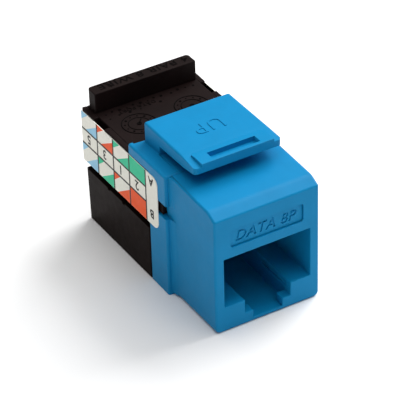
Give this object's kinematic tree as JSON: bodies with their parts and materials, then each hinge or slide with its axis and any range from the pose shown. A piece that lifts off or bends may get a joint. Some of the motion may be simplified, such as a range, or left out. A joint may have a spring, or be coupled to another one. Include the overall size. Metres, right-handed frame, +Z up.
{
  "type": "keystone network jack",
  "caption": "Keystone snap-in network jack: plug socket with spring contacts, insulation-displacement terminal block, removable termination cap and colour-coded wiring labels.",
  "frame": {"origin": "centre of the whole jack in X and Y, on the plane of the underside that it rests on", "axes": "+X to the right seen from the plug side, +Y from the plug face to the rear, +Z up towards the snap latch"},
  "size_m": [0.0162, 0.0302, 0.0202],
  "materials": {
    "blue_housing": "satin moulded ABS",
    "black_body": "fine spark-eroded moulded plastic",
    "black_cap": "satin moulded plastic",
    "black_carrier": "moulded glass-filled plastic",
    "gold_contact": "gold-plated bronze wire",
    "tinned_terminal": "tin-plated bronze sheet",
    "board": "glass-epoxy board with solder mask",
    "label": "printed vinyl sticker"
  },
  "bodies": {
    "jack": {"front_housing": "blue_housing", "contact_wire_roots": "gold_contact", "contact_carrier": "black_carrier", "circuit_board": "board", "idc_block": "black_body", "terminal_row_left": "black_carrier", "terminal_row_right": "black_carrier", "rear_cover": "black_body", "wiring_label_left": "label", "wiring_label_right": "label", "idc_terminal_1": "tinned_terminal", "idc_terminal_2": "tinned_terminal", "idc_terminal_3": "tinned_terminal", "idc_terminal_4": "tinned_terminal", "idc_terminal_5": "tinned_terminal", "idc_terminal_6": "tinned_terminal", "idc_terminal_7": "tinned_terminal", "idc_terminal_8": "tinned_terminal"},
    "latch": {"keystone_latch": "blue_housing"},
    "cap": {"termination_cap": "black_cap"},
    "contact_wire_1": {"contact_wire_1": "gold_contact"},
    "contact_wire_2": {"contact_wire_2": "gold_contact"},
    "contact_wire_3": {"contact_wire_3": "gold_contact"},
    "contact_wire_4": {"contact_wire_4": "gold_contact"},
    "contact_wire_5": {"contact_wire_5": "gold_contact"},
    "contact_wire_6": {"contact_wire_6": "gold_contact"},
    "contact_wire_7": {"contact_wire_7": "gold_contact"},
    "contact_wire_8": {"contact_wire_8": "gold_contact"}
  },
  "joints": [
    {"name": "latch_flex", "type": "hinge", "parent": "jack", "child": "latch", "pos_m": [0, -0.0007, 0.0186], "axis": [1, 0, 0], "range_deg": [0, 9], "stiffness_Nm_per_rad": 0.5},
    {"name": "cap_slide", "type": "slide", "parent": "jack", "child": "cap", "axis": [0, 0, -1], "range_m": [0, 0.008]},
    {"name": "wire_1_flex", "type": "hinge", "parent": "jack", "child": "contact_wire_1", "pos_m": [-0.00357, -0.01277, 0.01132], "axis": [1, 0, 0], "range_deg": [0, 10], "stiffness_Nm_per_rad": 0.01},
    {"name": "wire_2_flex", "type": "hinge", "parent": "jack", "child": "contact_wire_2", "pos_m": [-0.00255, -0.01277, 0.01132], "axis": [1, 0, 0], "range_deg": [0, 10], "stiffness_Nm_per_rad": 0.01},
    {"name": "wire_3_flex", "type": "hinge", "parent": "jack", "child": "contact_wire_3", "pos_m": [-0.00153, -0.01277, 0.01132], "axis": [1, 0, 0], "range_deg": [0, 10], "stiffness_Nm_per_rad": 0.01},
    {"name": "wire_4_flex", "type": "hinge", "parent": "jack", "child": "contact_wire_4", "pos_m": [-0.00051, -0.01277, 0.01132], "axis": [1, 0, 0], "range_deg": [0, 10], "stiffness_Nm_per_rad": 0.01},
    {"name": "wire_5_flex", "type": "hinge", "parent": "jack", "child": "contact_wire_5", "pos_m": [0.00051, -0.01277, 0.01132], "axis": [1, 0, 0], "range_deg": [0, 10], "stiffness_Nm_per_rad": 0.01},
    {"name": "wire_6_flex", "type": "hinge", "parent": "jack", "child": "contact_wire_6", "pos_m": [0.00153, -0.01277, 0.01132], "axis": [1, 0, 0], "range_deg": [0, 10], "stiffness_Nm_per_rad": 0.01},
    {"name": "wire_7_flex", "type": "hinge", "parent": "jack", "child": "contact_wire_7", "pos_m": [0.00255, -0.01277, 0.01132], "axis": [1, 0, 0], "range_deg": [0, 10], "stiffness_Nm_per_rad": 0.01},
    {"name": "wire_8_flex", "type": "hinge", "parent": "jack", "child": "contact_wire_8", "pos_m": [0.00357, -0.01277, 0.01132], "axis": [1, 0, 0], "range_deg": [0, 10], "stiffness_Nm_per_rad": 0.01}
  ]
}
